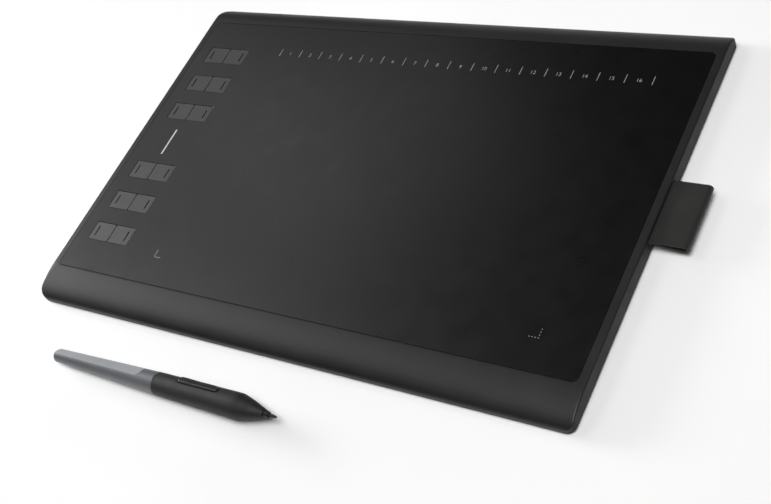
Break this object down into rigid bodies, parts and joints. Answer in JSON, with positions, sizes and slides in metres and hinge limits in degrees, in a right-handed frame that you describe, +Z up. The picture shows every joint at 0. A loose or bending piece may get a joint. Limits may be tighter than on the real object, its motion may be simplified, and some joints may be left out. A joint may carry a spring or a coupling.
{
  "type": "pen drawing tablet",
  "caption": "Flat desktop graphics tablet with a sunk drawing surface, press keys down its left side, a fabric loop at its right side, and its stylus with a rocker button lying in front.",
  "frame": {"origin": "centre of the footprint of tablet, loop and pen together, on the surface they stand on", "axes": "+X along the tablet's long side from the keys to the fabric loop, +Y from the palm edge to the rear edge, +Z up"},
  "size_m": [0.38, 0.28, 0.0148],
  "materials": {
    "frame_shell": "fine moulded texture, satin black",
    "bottom_shell": "coarser moulded texture, matt black",
    "drawing_film": "matt black film with a paper-like grain",
    "key_plastic": "satin black",
    "foot_rubber": "matt black",
    "circuit_board": "green solder mask",
    "shield_steel": "plain tinned sheet",
    "dome_film": "clear polyester film",
    "socket_steel": "bright tinned shell",
    "ribbon_film": "white flat cable",
    "screw_steel": "dark zinc",
    "loop_fabric": "black elastic ribbon, fine rib weave",
    "anchor_plastic": "black",
    "barrel_plastic": "grey metallic satin paint",
    "grip_rubber": "matt black soft coating",
    "rocker_plastic": "black, semi gloss",
    "nib_plastic": "black acetal",
    "carrier_plastic": "natural white",
    "ferrite": "dark sintered",
    "coil_copper": "enamelled copper wire",
    "sensor_plastic": "black"
  },
  "bodies": {
    "tablet": {"top_frame": "frame_shell", "bottom_cover": "bottom_shell", "drawing_surface": "drawing_film", "foot_1": "foot_rubber", "foot_2": "foot_rubber", "foot_3": "foot_rubber", "foot_4": "foot_rubber", "housing_screw_1": "screw_steel", "housing_screw_2": "screw_steel", "housing_screw_3": "screw_steel", "housing_screw_4": "screw_steel", "housing_screw_5": "screw_steel", "housing_screw_6": "screw_steel", "sensor_board": "circuit_board", "shield_plate": "shield_steel", "main_board": "circuit_board", "key_board": "circuit_board", "dome_sheet": "dome_film", "sensor_ribbon": "ribbon_film", "key_ribbon": "ribbon_film", "loop_anchor": "anchor_plastic", "usb_socket": "socket_steel", "card_socket": "socket_steel", "pen_loop": "loop_fabric"},
    "key_1": {"key_1": "key_plastic"},
    "key_2": {"key_2": "key_plastic"},
    "key_3": {"key_3": "key_plastic"},
    "key_4": {"key_4": "key_plastic"},
    "key_5": {"key_5": "key_plastic"},
    "key_6": {"key_6": "key_plastic"},
    "key_7": {"key_7": "key_plastic"},
    "key_8": {"key_8": "key_plastic"},
    "key_9": {"key_9": "key_plastic"},
    "key_10": {"key_10": "key_plastic"},
    "key_11": {"key_11": "key_plastic"},
    "key_12": {"key_12": "key_plastic"},
    "pen": {"pen_barrel": "barrel_plastic", "pen_grip": "grip_rubber", "pen_nib_collar": "nib_plastic", "pen_circuit_board": "circuit_board", "pen_coil": "coil_copper", "pen_ferrite_core": "ferrite", "pen_pressure_sensor": "sensor_plastic", "pen_switch_1": "socket_steel", "pen_switch_2": "socket_steel", "pen_rocker_pin": "screw_steel", "pen_carrier": "carrier_plastic"},
    "pen_rocker": {"pen_rocker": "rocker_plastic"},
    "pen_nib": {"pen_nib": "nib_plastic"}
  },
  "joints": [
    {"name": "key_1_press", "type": "slide", "parent": "tablet", "child": "key_1", "axis": [0, 0, -1], "range_m": [0, 0.0005], "stiffness_N_per_m": 2000},
    {"name": "key_2_press", "type": "slide", "parent": "tablet", "child": "key_2", "axis": [0, 0, -1], "range_m": [0, 0.0005], "stiffness_N_per_m": 2000},
    {"name": "key_3_press", "type": "slide", "parent": "tablet", "child": "key_3", "axis": [0, 0, -1], "range_m": [0, 0.0005], "stiffness_N_per_m": 2000},
    {"name": "key_4_press", "type": "slide", "parent": "tablet", "child": "key_4", "axis": [0, 0, -1], "range_m": [0, 0.0005], "stiffness_N_per_m": 2000},
    {"name": "key_5_press", "type": "slide", "parent": "tablet", "child": "key_5", "axis": [0, 0, -1], "range_m": [0, 0.0005], "stiffness_N_per_m": 2000},
    {"name": "key_6_press", "type": "slide", "parent": "tablet", "child": "key_6", "axis": [0, 0, -1], "range_m": [0, 0.0005], "stiffness_N_per_m": 2000},
    {"name": "key_7_press", "type": "slide", "parent": "tablet", "child": "key_7", "axis": [0, 0, -1], "range_m": [0, 0.0005], "stiffness_N_per_m": 2000},
    {"name": "key_8_press", "type": "slide", "parent": "tablet", "child": "key_8", "axis": [0, 0, -1], "range_m": [0, 0.0005], "stiffness_N_per_m": 2000},
    {"name": "key_9_press", "type": "slide", "parent": "tablet", "child": "key_9", "axis": [0, 0, -1], "range_m": [0, 0.0005], "stiffness_N_per_m": 2000},
    {"name": "key_10_press", "type": "slide", "parent": "tablet", "child": "key_10", "axis": [0, 0, -1], "range_m": [0, 0.0005], "stiffness_N_per_m": 2000},
    {"name": "key_11_press", "type": "slide", "parent": "tablet", "child": "key_11", "axis": [0, 0, -1], "range_m": [0, 0.0005], "stiffness_N_per_m": 2000},
    {"name": "key_12_press", "type": "slide", "parent": "tablet", "child": "key_12", "axis": [0, 0, -1], "range_m": [0, 0.0005], "stiffness_N_per_m": 2000},
    {"name": "pen_lift", "type": "slide", "parent": "tablet", "child": "pen", "axis": [0, 0, 1], "range_m": [0, 0.15]},
    {"name": "pen_rocker_tilt", "type": "hinge", "parent": "pen", "child": "pen_rocker", "pos_m": [-0.03247, -0.1306, 0.01057], "axis": [-0.0071, -0.866, 0.4999], "range_deg": [-1.5, 1.5], "stiffness_Nm_per_rad": 0.3},
    {"name": "pen_nib_press", "type": "slide", "parent": "pen", "child": "pen_nib", "axis": [-0.9999, 0, -0.0143], "range_m": [0, 0.0006], "stiffness_N_per_m": 3000}
  ]
}
